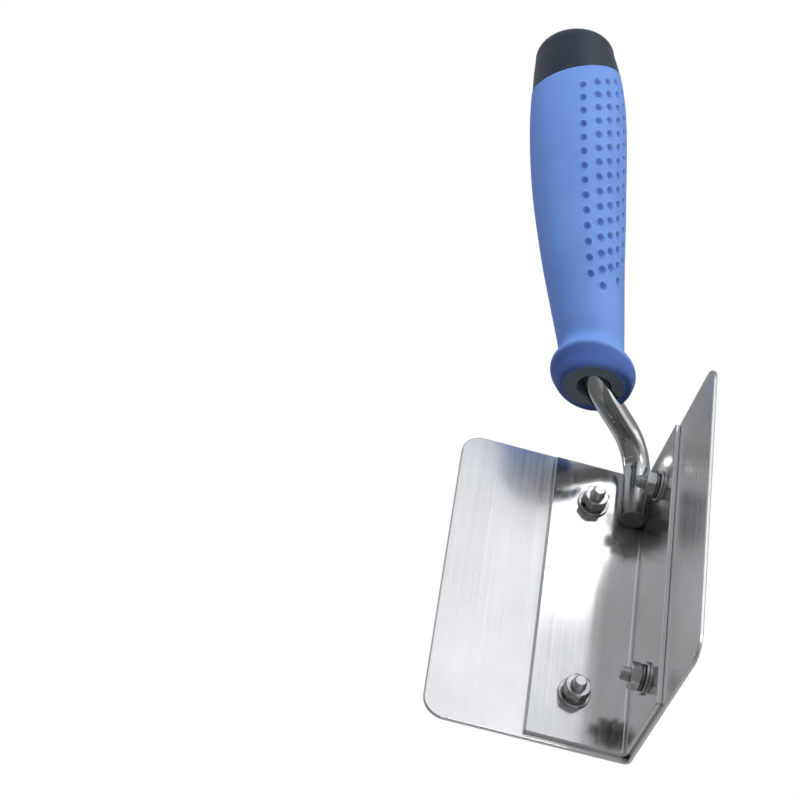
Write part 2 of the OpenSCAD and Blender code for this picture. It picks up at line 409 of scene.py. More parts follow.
def bar_steel():
    """Polished stainless bar: drawn lines, light pits, and a dull grey foot near the weld."""
    s = Shader("tang_polished")
    clouds = s.noise(120, detail=5.0)
    drawn = s.noise(1.0, s.mapped((1500, 60, 60)), 3.0)
    pits_and_painted_shade = s.range(s.voronoi(900), 0.02, 0.09, 1, 0)
    heat = s.math("ADD", s.distance_to((0, ROD_Y, TANG_LOW.z)), s.range(clouds, 0, 1, -0.002, 0.002))
    colour = s.ramp(s.range(heat, 0.003, 0.012, 0, 1), [
        (0.0, (0.28, 0.275, 0.27, 1)),
        (0.25, (0.34, 0.335, 0.33, 1)),
        (0.5, (0.50, 0.49, 0.47, 1)),
        (1.0, (0.66, 0.66, 0.65, 1)),
    ])
    s.link(colour, "Base Color")
    rough = s.range(clouds, 0.3, 0.7, 0.10, 0.20)
    rough = s.math("ADD", rough, s.range(heat, 0.004, 0.012, 0.25, 0))
    s.link(rough, "Roughness")
    s.set(Metallic=1.0)
    normal = s.bump(drawn, 0.30, 0.00012, s.bump(clouds, 0.06, 0.0003))
    s.link(s.bump(pits_and_painted_shade, 0.15, 0.00004, normal), "Normal")
    return s.material


def weld_steel():
    """Dark oxidised bead."""
    s = Shader("weld_bead")
    clouds = s.noise(700, detail=6.0)
    s.link(s.ramp(clouds, [
        (0.25, (0.05, 0.045, 0.04, 1)),
        (0.55, (0.20, 0.18, 0.16, 1)),
        (0.8, (0.42, 0.40, 0.37, 1)),
    ]), "Base Color")
    s.link(s.range(clouds, 0.3, 0.7, 0.3, 0.6), "Roughness")
    s.set(Metallic=0.9)
    s.link(s.bump(clouds, 0.4, 0.0002), "Normal")
    return s.material


def fastener_steel(name, level, rough_low, rough_high):
    """Bright plated steel with small dents and grime."""
    s = Shader(name)
    clouds = s.noise(600, detail=5.0)
    grime = s.noise(260, detail=3.0)
    dirty = grey(level * 0.55, (1, 0.97, 0.92))
    s.link(s.mix(s.range(grime, 0.55, 0.75, 0, 0.7), grey(level), dirty), "Base Color")
    s.link(s.range(clouds, 0.3, 0.7, rough_low, rough_high), "Roughness")
    s.set(Metallic=1.0)
    s.link(s.bump(clouds, 0.12, 0.0001), "Normal")
    return s.material


def grip_rubber():
    """Satin blue soft plastic: fine mould texture, slight mottling and a few dust specks.

    A value stored on the mesh paints shade into the dimples and onto the collar's front face, where little
    light gets in.
    """
    s = Shader("grip_blue")
    mottle = s.noise(55, detail=3.0)
    grain = s.noise(2600, detail=3.0)
    specks = s.range(s.voronoi(140), 0.018, 0.045, 1, 0)
    blue = s.mix(s.range(mottle, 0.35, 0.65, 0, 1), (0.128, 0.242, 0.585, 1), (0.148, 0.270, 0.62, 1))
    painted_shade = s.nodes.new("ShaderNodeAttribute")
    painted_shade.attribute_name = "painted_shade"
    # Painted shade: dark blue mixed in by the value stored on the mesh, in the dimples and on the collar's
    # front face.
    blue = s.mix(s.math("MULTIPLY", painted_shade.outputs["Fac"], 0.8), blue, (0.038, 0.066, 0.29, 1))
    s.link(s.mix(s.math("MULTIPLY", specks, 0.45), blue, (0.05, 0.09, 0.27, 1)), "Base Color")
    s.link(s.range(mottle, 0.3, 0.7, 0.50, 0.60), "Roughness")
    s.set(Sheen_Weight=0.05, Sheen_Roughness=0.4, Specular_IOR_Level=0.25)
    s.link(s.bump(grain, 0.14, 0.0002), "Normal")
    return s.material


def dark_plastic(name, colour, rough_low, rough_high, grain_strength, shine):
    """Charcoal moulded plastic with faint flow marks and rub marks."""
    s = Shader(name)
    flow = s.noise(1.0, s.mapped((520, 520, 30)), 3.0)
    rub = s.noise(180, detail=6.0)
    grain = s.noise(1800, detail=2.0)
    lighter = tuple(c * 1.5 for c in colour) + (1,)
    s.link(s.mix(s.range(rub, 0.45, 0.75, 0, 0.6), colour + (1,), lighter), "Base Color")
    s.link(s.range(flow, 0.3, 0.7, rough_low, rough_high), "Roughness")
    s.set(Specular_IOR_Level=shine)
    s.link(s.bump(grain, grain_strength, 0.0001), "Normal")
    return s.material


# ---------- sheet metal ----------

def bent_point(u, z, depth, offset, thickness):
    """Point of a bent sheet: u along the developed outline, depth from its outer face.

    offset is how far the sheet's outer face lies inside the blade's outer face.
    """
    r_out = thickness + BEND_R
    arc_len = r_out * math.pi / 4
    side = RIGHT if u >= 0 else LEFT
    centre_along = offset + r_out
    if abs(u) <= arc_len:
        angle = math.pi / 2 - u / r_out
        centre_y = CORNER_Y - centre_along * math.sqrt(2)
        radius = r_out - max(depth, FACET_PLAY)
        return (radius * math.cos(angle), centre_y + radius * math.sin(angle), z)
    along = centre_along + abs(u) - arc_len
    inward = offset + depth
    x = side * HALF_SQRT2 * (along - inward)
    y = CORNER_Y - HALF_SQRT2 * (along + inward)
    return (x, y, z)


def sheet_outline(half_width, z_low, z_high, corner):
    """Rounded outline of the developed sheet as (u, z, normal u, normal z), lower edge first.

    The upper half mirrors the lower half, so that columns join straight across.
    """
    lower = []
    steps = 10
    for i in range(steps + 1):
        a = math.radians(180 + 90 * i / steps)
        lower.append((-half_width + corner + corner * math.cos(a), corner + corner * math.sin(a),
                      math.cos(a), math.sin(a)))
    inner = half_width - corner
    flats = [-inner + (inner - 5) * i / 8 for i in range(1, 9)]
    bends = [-3.0 + 6.0 * i / 16 for i in range(17)]
    for u in flats + bends + [-v for v in reversed(flats)]:
        lower.append((u, 0.0, 0.0, -1.0))
    for i in range(steps + 1):
        a = math.radians(270 + 90 * i / steps)
        lower.append((half_width - corner + corner * math.cos(a), corner + corner * math.sin(a),
                      math.cos(a), math.sin(a)))
    height = z_high - z_low
    bottom = [(u, z_low + z, nu, nz) for u, z, nu, nz in lower]
    top = [(u, z_low + height - z, nu, -nz) for u, z, nu, nz in lower]
    return bottom, top


def bent_sheet(name, width, thickness, offset, z_low, z_high, corner, edge_r):
    """A bent sheet with rounded rims and rounded corners."""
    r_out = thickness + BEND_R
    arc_len = r_out * math.pi / 4
    half_width = (width - offset - r_out) + arc_len
    bottom, top = sheet_outline(half_width, z_low, z_high, corner)
    loop = bottom + list(reversed(top))
    count = len(loop)
    profile = [(edge_r * (math.sin(a) - 1), edge_r * (1 - math.cos(a)))
               for a in (math.radians(90 * i / 4) for i in range(5))]
    profile += [(inset, thickness - depth) for inset, depth in reversed(profile)]
    points = []
    for inset, depth in profile:
        for u, z, nu, nz in loop:
            points.append(bent_point(u + nu * inset, z + nz * inset, depth, offset, thickness))
    faces = grid(len(profile), count)
    columns = len(bottom)
    for ring, flip in ((0, False), (len(profile) - 1, True)):
        base = ring * count
        for i in range(columns - 1):
            quad = (base + i, base + count - 1 - i, base + count - 2 - i, base + i + 1)
            faces.append(tuple(reversed(quad)) if flip else quad)
    return mesh_piece(name, points, faces)


def leg_axes(side):
    """Unit vectors along a leg, away from the bend, and square to it, into the hollow side."""
    along = Vector((side * HALF_SQRT2, -HALF_SQRT2, 0))
    inward = Vector((-side * HALF_SQRT2, -HALF_SQRT2, 0))
    return along, inward


def screw_place(side, z):
    """Matrix from screw space (Z from the working face towards the user) to the row frame, in mm."""
    along, inward = leg_axes(side)
    origin = Vector((0, CORNER_Y, z)) + along * SCREW_X
    across = inward.cross(along)
    matrix = Matrix((along, across, inward)).transposed().to_4x4()
    if matrix.determinant() < 0:
        matrix = Matrix((along, -across, inward)).transposed().to_4x4()
    matrix.translation = origin
    return matrix


def screw_heights():
    """Height of each row of screws, read from the nuts' boxes."""
    heights = {}
    for row in ("upper", "lower"):
        low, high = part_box(f"nut_left_{row}")
        heights[row] = in_mm((low + high) / 2).z
    return heights


def lathe(outline, steps, matrix=None):
    """Rings of a turned outline of (radius, height), placed by a matrix."""
    rings = []
    for radius, height in outline:
        ring = []
        for i in range(steps):
            a = 2 * math.pi * i / steps
            p = Vector((radius * math.cos(a), radius * math.sin(a), height))
            ring.append(tuple(matrix @ p) if matrix else tuple(p))
        rings.append(ring)
    return rings


def solid_mesh(name, rings):
    """A closed mesh through rings, for cutting."""
    return new_mesh(name, *capped(rings))


def cut(piece, meshes):
    """Takes each closed mesh away from a piece."""
    cutters = []
    for mesh in meshes:
        cutter = bpy.data.objects.new(mesh.name, mesh)
        bpy.context.scene.collection.objects.link(cutter)
        cutters.append(cutter)
        modifier = piece.modifiers.new("cut", "BOOLEAN")
        modifier.operation = "DIFFERENCE"
        modifier.solver = "EXACT"
        modifier.object = cutter
    bake_modifiers(piece)
    for cutter in cutters:
        bpy.data.objects.remove(cutter)
    for mesh in meshes:
        bpy.data.meshes.remove(mesh)


def drill(piece, matrices, outline):
    """Cuts a turned outline out of a piece at each matrix."""
    cut(piece, [solid_mesh(f"drill_{i}", lathe(outline, 48, matrix)) for i, matrix in enumerate(matrices)])


def bake_modifiers(piece):
    depsgraph = bpy.context.evaluated_depsgraph_get()
    baked = bpy.data.meshes.new_from_object(piece.evaluated_get(depsgraph))
    old = piece.data
    piece.modifiers.clear()
    piece.data = baked
    bpy.data.meshes.remove(old)


def hole_outline():
    """Countersunk hole for a screw, from outside the working face to past the bracket."""
    play = 0.12
    shank = THREAD_R + 0.15
    head_h = HEAD_R - THREAD_R
    past_sheets = 6.0
    return [(HEAD_R + play + 1.0, -1.0), (HEAD_R + play, 0.0), (shank, head_h + play), (shank, past_sheets)]


def build_sheets(places):
    blade = bent_sheet("blade_sheet", BLADE_W, BLADE_T, 0.0, 0.0, BLADE_H, BLADE_CORNER_R, BLADE_EDGE_R)
    drill(blade, places, hole_outline())
    weighted(blade)
    finish_piece(blade, sheet_steel("blade_brushed", 0.82, 0.26, 0.35, 0.30), "blade_steel", "blade")
    bracket = bent_sheet("bracket_angle", BRACKET_W, BRACKET_T, BLADE_T + SHEET_GAP, BRACKET_LOW.z,
                         BRACKET_HIGH.z, BRACKET_CORNER_R, BRACKET_EDGE_R)
    drill(bracket, places, hole_outline())
    weighted(bracket)
    steel = sheet_steel("bracket_bright", 0.72, 0.11, 0.17, 0.10, (0, ROD_Y + 2, TANG_LOW.z))
    finish_piece(bracket, steel, "bracket_steel", "bracket")


# ---------- tang ----------

def rod_path():
    """Stations of the bar: (y, z, angle from vertical, arc length)."""
    tangent_1 = ROD_BEND_R * math.tan(ROD_BEND / 2)
    tangent_2 = ROD_BEND_R * math.tan(TURN_BACK / 2)
    slope = ROD_REACH / math.sin(ROD_BEND) - tangent_1 - tangent_2
    straight = ROD_TURN_Z - tangent_1 - TANG_LOW.z
    stations = []
    y, z, s = ROD_Y, TANG_LOW.z, 0.0

    def run(length, angle, count):
        nonlocal y, z, s
        for _ in range(count):
            stations.append((y, z, angle, s))
            step = length / count
            y -= math.sin(angle) * step
            z += math.cos(angle) * step
            s += step

    def turn(start, end, radius, count):
        nonlocal y, z, s
        for i in range(count):
            a, b = lerp(start, end, i / count), lerp(start, end, (i + 1) / count)
            stations.append((y, z, a, s))
            chord = 2 * radius * math.sin(abs(b - a) / 2)
            mid = (a + b) / 2
            y -= math.sin(mid) * chord
            z += math.cos(mid) * chord
            s += radius * abs(b - a)

    run(straight, 0.0, 24)
    turn(0.0, ROD_BEND, ROD_BEND_R, 40)
    run(slope, ROD_BEND, 20)
    turn(ROD_BEND, TILT, ROD_BEND_R, 24)
    run(ROD_INSIDE, TILT, 6)
    stations.append((y, z, TILT, s))
    bend_mid = straight + ROD_BEND_R * ROD_BEND / 2
    return stations, bend_mid


def bar_ring(y, z, angle, radius, columns, squeeze=0.0, dents=()):
    """Ring square to the bar's middle line. A dent is a depth and how narrow it is round the user's side."""
    points = []
    for i in range(columns):
        a = 2 * math.pi * i / columns
        inner = max(0.0, math.sin(a))
        dent = sum(depth * inner ** power for depth, power in dents)
        across = math.cos(a) * radius * (1 + squeeze)
        towards = math.sin(a) * (radius * (1 - squeeze) - dent)
        points.append((across, y - towards * math.cos(angle), z - towards * math.sin(angle)))
    return points


def build_tang():
    """The bar, a little flattened at its first bend, with two marks of the bending tool there."""
    stations, bend_mid = rod_path()
    foot_z = TANG_LOW.z
    columns = 48
    rings = [bar_ring(ROD_Y, foot_z, 0.0, ROD_R - ROD_CHAMFER, columns),
             bar_ring(ROD_Y, foot_z + ROD_CHAMFER * 0.3, 0.0, ROD_R - ROD_CHAMFER * 0.3, columns)]
    for y, z, angle, s in stations:
        if s == 0.0:
            z += ROD_CHAMFER
        reach = s - bend_mid
        squeeze = 0.035 * math.exp(-(reach / 7.0) ** 2)
        wide_mark = 0.42 * math.exp(-((reach + 4.2) / 1.0) ** 2)
        slight_mark = 0.25 * math.exp(-((reach + 1.2) / 0.7) ** 2)
        dents = ((wide_mark, 10), (slight_mark, 14))
        rings.append(bar_ring(y, z, angle, ROD_R, columns, squeeze, dents))
    piece = tube("tang_bar", rings)
    weighted(piece, 50)
    return finish_piece(piece, bar_steel(), "tang_steel", "tang")


def build_weld(side, name):
    """A rippled fillet between the bar and one leg of the bracket."""
    rng = random.Random(11 + side)
    low, high = (in_mm(v).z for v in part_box(name))
    contact = SHEETS_T + ROD_R
    along, inward = leg_axes(side)
    centre = Vector((0, CORNER_Y, 0)) + along * (contact + 1.1) + inward * (SHEETS_T + 0.25)
    rings = []
    rows = 120
    columns = 14
    wobble = [rng.uniform(-0.12, 0.12) for _ in range(rows // 6 + 2)]
    for r in range(rows + 1):
        u = r / rows
        z = lerp(low, high, u)
        fade = math.sqrt(max(0.0, 1 - (2 * u - 1) ** 8))
        ripple = 1 + 0.10 * math.sin(2 * math.pi * z / 1.1) + wobble[r // 6]
        size = max(0.02, 1.15 * fade * ripple)
        ring = []
        for c in range(columns):
            a = 2 * math.pi * c / columns
            p = centre + along * (1.25 * size * math.cos(a)) + inward * (0.85 * size * math.sin(a))
            arch = 0.25 * math.cos(a) * fade
            ring.append((p.x, p.y, z + arch))
        rings.append(ring if side == RIGHT else list(reversed(ring)))
    piece = tube(f"{name}_bead", rings)
    weighted(piece, 60)
    return finish_piece(piece, weld_steel(), "weld", name)


# ---------- handle ----------

HANDLE_MATRIX = Matrix.Translation((0, MOUTH_Y, MOUTH_Z)) @ Matrix.Rotation(TILT, 4, "X")


def handle_radius(w):
    if w < NECK_AT:
        return NECK_R
    if w < BELLY_AT:
        rise = math.sin(math.pi / 2 * (w - NECK_AT) / (BELLY_AT - NECK_AT))
        return NECK_R + (BELLY_R - NECK_R) * rise ** 1.12
    return BELLY_R - (BELLY_R - SHOULDER_R) * ((w - BELLY_AT) / (SHOULDER_AT - BELLY_AT)) ** 2


def handle_bow(w):
    """How far the middle line of the handle bows towards the user."""
    return 0.3 + 1.7 * smooth(8, 44, w) - 2.8 * smooth(58, 108, w)


def handle_point(w, radius, angle, slope, lift):
    """Point round the handle's middle line, before its bow. Angle 0 is the user's side, which slope lifts."""
    towards_user = radius * math.cos(angle)
    x = radius * math.sin(angle)
    y = -towards_user * math.cos(slope)
    z = w + towards_user * math.sin(slope) + lift
    return x, y, z


def placed_on_handle(x, y, z):
    return tuple(HANDLE_MATRIX @ Vector((x, y, z)))


def dimple_centres():
    """(angle, w) of each dimple: the field beside the user's side and its twin opposite."""
    centres = []
    for angle, shift, count in DIMPLE_COLUMNS:
        for k in range(count):
            w = DIMPLE_FIRST + shift + k * DIMPLE_PITCH
            centres += [(math.radians(angle), w), (math.radians(angle + 180), w)]
    return centres


def dimple_depth(angle, w, radius, lookup):
    """Depth of the dimple field at a point of the handle. A low rim round each dimple counts as negative."""
    best = None
    for a, centre_w in lookup.get(round(w / DIMPLE_PITCH), ()):
        across = (math.remainder(angle - a, 2 * math.pi)) * radius
        d = math.hypot(across, w - centre_w)
        if best is None or d < best:
            best = d
    if best is None or best > DIMPLE_R * 1.35:
        return 0.0
    u = best / DIMPLE_R
    bowl = DIMPLE_DEPTH * (1 - u * u) if u < 1 else 0.0
    rim = DIMPLE_RIM * math.exp(-((u - 1.12) / 0.15) ** 2)
    return bowl - rim


def dimple_lookup():
    """The dimples near each stretch of the handle, so that a point tests only those."""
    lookup = {}
    for a, w in dimple_centres():
        for key in {round((w + s) / DIMPLE_PITCH) for s in (-2.0, 0.0, 2.0)}:
            lookup.setdefault(key, []).append((a, w))
    return lookup


def grip_stations():
    """(w, radius, slope) from the front face's inner edge to the cap's joint."""
    stations = [(-FACE_AT - 0.05, CORE_R - 0.15, FACE_SLOPE)]
    stations += face_stations()
    stations += lip_stations()
    lip_end_w, lip_end_r, _ = stations[-1]
    stations += flare_stations(lip_end_w, lip_end_r)
    w = FLARE_END
    while w < CAP_JOINT - 0.6:
        w += PLAIN_STEP if w < DIMPLES_FROM else DIMPLED_STEP
        stations.append((w, handle_radius(w), neck_slope(w) - CAP_SLOPE * smooth(78, CAP_JOINT, w)))
    edge = handle_radius(CAP_JOINT)
    for drop, step in ((0.05, 0.35), (0.18, 0.12), (0.45, 0.02), (1.0, 0.0)):
        stations.append((CAP_JOINT - step, edge - drop, -CAP_SLOPE))
    return stations


def face_stations():
    """The domed front face, from the core's ring to the lip."""
    stations = []
    lip_w = LIP_AT + LIP_R * math.sin(LIP_START)
    lip_r = COLLAR_R - LIP_R + LIP_R * math.cos(LIP_START)
    for i in range(10):
        u = i / 10
        bulge = 0.7 * math.sin(math.pi * u)
        stations.append((lerp(-FACE_AT, lip_w, u) - bulge, lerp(CORE_R + 0.1, lip_r, u) + bulge * 0.5,
                         lerp(FACE_SLOPE, COLLAR_SLOPE, smooth(0, 0.7, u))))
    return stations


def lip_stations():
    """The collar's rounded lip."""
    stations = []
    for i in range(11):
        a = LIP_START + LIP_ARC * i / 10
        w = LIP_AT + LIP_R * math.sin(a)
        stations.append((w, COLLAR_R - LIP_R + LIP_R * math.cos(a), COLLAR_SLOPE))
    return stations


def flare_stations(w0, r0):
    """A cubic from the lip's end down to the neck."""
    stations = []
    r1 = handle_radius(FLARE_END)
    slope_0, slope_1 = -0.95, 0.05
    h = FLARE_END - w0
    for i in range(1, 17):
        u = i / 16
        r = ((2 * u ** 3 - 3 * u ** 2 + 1) * r0 + (u ** 3 - 2 * u ** 2 + u) * h * slope_0
             + (-2 * u ** 3 + 3 * u ** 2) * r1 + (u ** 3 - u ** 2) * h * slope_1)
        w = w0 + h * u
        stations.append((w, r, neck_slope(w)))
    return stations


def neck_slope(w):
    return COLLAR_SLOPE * (1 - smooth(3, 22, w))


def grip_columns():
    """Angles round the grip, close together where the dimples are."""
    half = []
    a = 0.0
    while a < 179.0:
        half.append(a)
        a += 1.15 if 27 <= a < 122 else 3.0
    return [math.radians(x) for x in half + [x + 180 for x in half]]


def grip_lining(columns):
    """Rings of the grip's inner face, from the cap's end to the front face."""
    rings = []
    for w, r, slope in ((CAP_JOINT - 0.2, SPIGOT_R, -CAP_SLOPE), (60, 11.4, 0.0), (12, 9.06, 0.0),
                        (-FACE_AT + 0.5, 9.04, FACE_SLOPE)):
        rings.append([placed_on_handle(*handle_point(w, r, a, slope, joint_wave(a, w))) for a in columns])
    return rings


def build_grip():
    """The sleeve: its outer skin with dimples, its lining, and the slot for the bar."""
    lookup = dimple_lookup()
    columns = grip_columns()
    rings = []
    pits_and_painted_shade = []
    for i, (w, radius, slope) in enumerate(grip_stations()):
        ring = []
        for a in columns:
            r = radius + flash_edge(a) if i == 0 else radius
            lift = joint_wave(a, w)
            r += handle_radius(w + lift) - handle_radius(w)
            x, y, z = handle_point(w, r, a, slope, lift)
            depth = dimple_depth(a, z, r, lookup) if 20 < z < CAP_JOINT - 2 else 0.0
            scale = (r - depth) / r
            ring.append(placed_on_handle(x * scale, y * scale - handle_bow(w), z))
            # Painted shade: the collar's front face gets a fixed darkening, and each dimple is darkened by
            # its depth.
            shade = FACE_SHADE * smooth(CORE_R, CORE_R + 0.6, r) * (1 - smooth(0.9, 2.4, w))
            pits_and_painted_shade.append(max(shade, depth / DIMPLE_DEPTH))
        rings.append(ring)
    inner = grip_lining(columns)
    pits_and_painted_shade += [0.0] * (len(inner) * len(columns))
    rings += inner
    points = [p for ring in rings for p in ring]
    count = len(columns)
    faces = grid(len(rings), count)
    last = (len(rings) - 1) * count
    for c in range(count):
        d = (c + 1) % count
        faces.append((last + c, last + d, d, c))
    piece = mesh_piece("grip_sleeve", points, faces)
    # Stores the painted shade on the mesh, for the grip's material.
    piece.data.attributes.new("painted_shade", "FLOAT", "POINT").data.foreach_set("value", pits_and_painted_shade)
    cut_way(piece)
    weighted(piece, 55)
    return finish_piece(piece, grip_rubber(), "grip_rubber", "grip")


def cut_way(piece):
    """Cuts the bar's way out of the grip, from outside the front face to well inside the handle."""
    stations, bend_mid = rod_path()
    start, end = bend_mid + 14, bend_mid + 58
    reach = [row for row in stations if start < row[3] < end]
    rings = [bar_ring(y, z, angle, ROD_R + WAY_PLAY, 40) for y, z, angle, _ in reach]
    cut(piece, [solid_mesh("way", rings)])


def flash_edge(a):
    """Uneven edge, with one notch, where the soft plastic overlaps the core's front ring."""
    notch = -0.75 * math.exp(-((math.degrees(a) - 80) / 9.0) ** 2)
    return notch + 0.06 * math.sin(3 * a + 0.6) + 0.04 * math.sin(7 * a)


def joint_wave(a, w):
    """How far the joint at the cap lies beyond its flat place. It is highest on one side."""
    return (1.9 - math.cos(a + math.radians(50))) * smooth(CAP_JOINT - 9, CAP_JOINT - 1, w)


def build_end_cap():
    """A shell that follows the uneven joint, then closes in a squarish dome."""
    columns = 96
    stations = [(CAP_JOINT - 3.0, SPIGOT_R, -CAP_SLOPE), (CAP_JOINT, SPIGOT_R, -CAP_SLOPE)]
    edge = handle_radius(CAP_JOINT)
    for drop, step in ((0.9, 0.02), (0.34, 0.03), (0.20, 0.10), (CAP_GROOVE, 0.3)):
        stations.append((CAP_JOINT + step, edge - drop, -CAP_SLOPE))
    w = CAP_JOINT + 0.3
    while w < DOME_FROM:
        w += 0.7
        slope = -CAP_SLOPE * (1 - smooth(CAP_JOINT, DOME_FROM, w))
        stations.append((w, handle_radius(w) - CAP_GROOVE, slope))
    base_r = handle_radius(w) - CAP_GROOVE
    power = 2 / DOME_SQUARENESS
    for i in range(1, 25):
        t = math.pi / 2 * i / 24
        rise = (DOME_TOP - w) * math.sin(t) ** power
        stations.append((w + rise, max(0.05, base_r * max(0.0, math.cos(t)) ** power), 0.0))
    rings = []
    for w, r, slope in stations:
        fade = 1 - smooth(CAP_JOINT + 0.5, DOME_FROM, w)
        ring = []
        for i in range(columns):
            a = 2 * math.pi * i / columns
            lift = joint_wave(a, CAP_JOINT) * fade
            follow = handle_radius(w + lift) - handle_radius(w)
            x, y, z = handle_point(w, r + follow, a, slope, lift)
            ring.append(placed_on_handle(x, y - handle_bow(w), z))
        rings.append(ring)
    piece = tube("end_cap_shell", rings)
    weighted(piece, 50)
    charcoal = dark_plastic("cap_charcoal", (0.020, 0.027, 0.040), 0.30, 0.40, 0.05, 0.42)
    return finish_piece(piece, charcoal, "cap_plastic", "end_cap")


def dress_core():
    """The CAD core stays, with a better material."""
    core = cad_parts["handle_core"]
    core.data.materials.clear()
    core.data.materials.append(dark_plastic("core_charcoal", (0.19, 0.225, 0.28), 0.45, 0.6, 0.15, 0.5))


# ---------- fasteners ----------

def thread_radius(angle, height, root, crest):
    """Radius of a single-start thread with flattened crests."""
    phase = (height / THREAD_PITCH - angle / (2 * math.pi)) % 1.0
    ridge = 1 - abs(2 * phase - 1)
    return lerp(root, crest, min(1.0, ridge * 1.35))


def build_screw(name, matrix):
    """Countersunk screw with a threaded shank and a cross recess in its head."""
    columns = 40
    root, crest = THREAD_R - 0.36, THREAD_R
    head_h = HEAD_R - THREAD_R
    rings = lathe([(HEAD_R - 0.12, 0.0), (HEAD_R, 0.1), (THREAD_R + 0.02, head_h)], columns)
    start, end = head_h + 0.15, SCREW_LEN
    rows = int((end - start) / THREAD_PITCH * 8)
    for r in range(rows + 1):
        height = lerp(start, end, r / rows)
        tip = smooth(end - 0.55, end, height) * 0.55
        ring = []
        for i in range(columns):
            a = 2 * math.pi * i / columns
            radius = min(thread_radius(a, height, root, crest), crest - tip)
            ring.append((radius * math.cos(a), radius * math.sin(a), height))
        rings.append(ring)
    placed = [[tuple(matrix @ Vector(p)) for p in reversed(ring)] for ring in rings]
    piece = tube(f"{name}_part", placed)
    cut_cross(piece, matrix)
    weighted(piece, 35)
    return piece


def cut_cross(piece, matrix):
    """Cuts a tapered cross recess into the screw's head, one wedge at a time."""
    faces = [(0, 1, 2, 3), (7, 6, 5, 4), (0, 4, 5, 1), (1, 5, 6, 2), (2, 6, 7, 3), (3, 7, 4, 0)]
    for turn in (CROSS_TURN, CROSS_TURN + 90):
        turned = matrix @ Matrix.Rotation(math.radians(turn), 4, "Z")
        corners = []
        for half, z in ((CROSS_TOP, -0.25), (CROSS_LOW, CROSS_DEEP)):
            for sx, sy in ((-1, -1), (1, -1), (1, 1), (-1, 1)):
                corners.append(tuple(turned @ Vector((sx * half, sy * CROSS_HALF_W, z))))
        cut(piece, [new_mesh("cross", corners, faces)])


def ring_piece(name, outline, matrix, columns=64):
    """A closed turned ring from an outline that goes round its section."""
    rings = lathe(outline, columns, matrix)
    points = [p for ring in rings for p in ring]
    return mesh_piece(name, points, round_trip(len(rings), columns))


def rounded_section(r_in, r_out, z_low, z_high, edge):
    """Outline of a ring's section with rounded outer corners and a small inner chamfer."""
    outline = [(r_in + edge * 0.5, z_low), (r_out - edge, z_low)]
    for i in range(1, 4):
        a = math.radians(-90 + 30 * i)
        outline.append((r_out - edge + edge * math.cos(a), z_low + edge + edge * math.sin(a)))
    for i in range(0, 4):
        a = math.radians(30 * i)
        outline.append((r_out - edge + edge * math.cos(a), z_high - edge + edge * math.sin(a)))
    outline += [(r_in + edge * 0.5, z_high), (r_in, z_high - edge * 0.5), (r_in, z_low + edge * 0.5)]
    return outline


def build_flat_washer(name, matrix):
    section = rounded_section(THREAD_R + 0.15, WASHER_R, SHEETS_T + 0.01, SHEETS_T + WASHER_T, 0.2)
    return weighted(ring_piece(f"{name}_part", section, matrix), 50)


def build_spring_washer(name, matrix):
    """A split ring whose two ends stand apart along the screw."""
    low, high = SHEETS_T + WASHER_T + 0.005, SHEETS_T + WASHER_T + SPRING_T
    gap = math.radians(11)
    start = math.radians(35)
    skew = math.radians(5)
    steps = 60
    lift = 0.12
    section = rounded_section(THREAD_R + 0.12, SPRING_R, 0.0, high - low - lift, 0.12)
    rings = []
    for i in range(steps + 1):
        a = lerp(gap, 2 * math.pi - gap, i / steps)
        z = low + lift * i / steps
        end_skew = skew if i in (0, steps) else 0.0
        ring = []
        for radius, height in section:
            angle = a + end_skew * (height / (high - low) - 0.5) + start
            p = Vector((radius * math.cos(angle), radius * math.sin(angle), z + height))
            ring.append(tuple(matrix @ p))
        rings.append(list(reversed(ring)))
    piece = tube(f"{name}_part", rings)
    return weighted(piece, 40)


def build_nut(name, matrix, turn):
    """Hex nut with both faces bevelled and a countersunk bore round the screw."""
    columns = 96
    base = SHEETS_T + WASHER_T + SPRING_T + 0.005
    face_r = NUT_AF / 2 - 0.12
    corner_r = NUT_AF / 2 / math.cos(math.pi / 6) - 0.07
    bore_r = THREAD_R - 0.05
    bevel = math.tan(math.radians(30))
    sections = []
    for i in range(columns):
        a = 2 * math.pi * i / columns
        sector = math.remainder(a - math.radians(turn), math.pi / 3)
        out = min(NUT_AF / 2 / math.cos(math.pi / 6 - abs(sector)), corner_r)
        drop = max(0.0, (out - face_r) * bevel)
        section = [
            (bore_r, 0.35), (THREAD_R + 0.2, 0.0), (face_r, 0.0), (out, drop + 0.02),
            (out, NUT_H - drop - 0.02), (face_r, NUT_H), (THREAD_R + 0.25, NUT_H), (bore_r, NUT_H - 0.35),
        ]
        sections.append([tuple(matrix @ Vector((radius * math.cos(a), radius * math.sin(a), base + height)))
                         for radius, height in section])
    points = [p for ring in zip(*sections) for p in ring]
    piece = mesh_piece(f"{name}_part", points, round_trip(len(sections[0]), columns))
    return weighted(piece, 22)


def build_fasteners(heights):
    """On each leg and in each row: a screw, a flat washer, a spring washer and a nut."""
    bright = fastener_steel("nut_bright", 0.66, 0.14, 0.26)
    washer = fastener_steel("washer_bright", 0.60, 0.16, 0.28)
    spring = fastener_steel("spring_dark", 0.30, 0.30, 0.42)
    for side_name, side in SIDES.items():
        for row, z in heights.items():
            place = f"{side_name}_{row}"
            matrix = screw_place(side, z)
            finish_piece(build_screw(f"screw_{place}", matrix), bright, "fastener_steel", f"screw_{place}")
            finish_piece(build_flat_washer(f"flat_washer_{place}", matrix), washer, "washer_steel",
                         f"flat_washer_{place}")
            finish_piece(build_spring_washer(f"spring_washer_{place}", matrix), spring, "spring_steel",
                         f"spring_washer_{place}")
            finish_piece(build_nut(f"nut_{place}", matrix, NUT_TURNS[place]), bright, "fastener_steel",
                         f"nut_{place}")


# ---------- stage, light and camera ----------

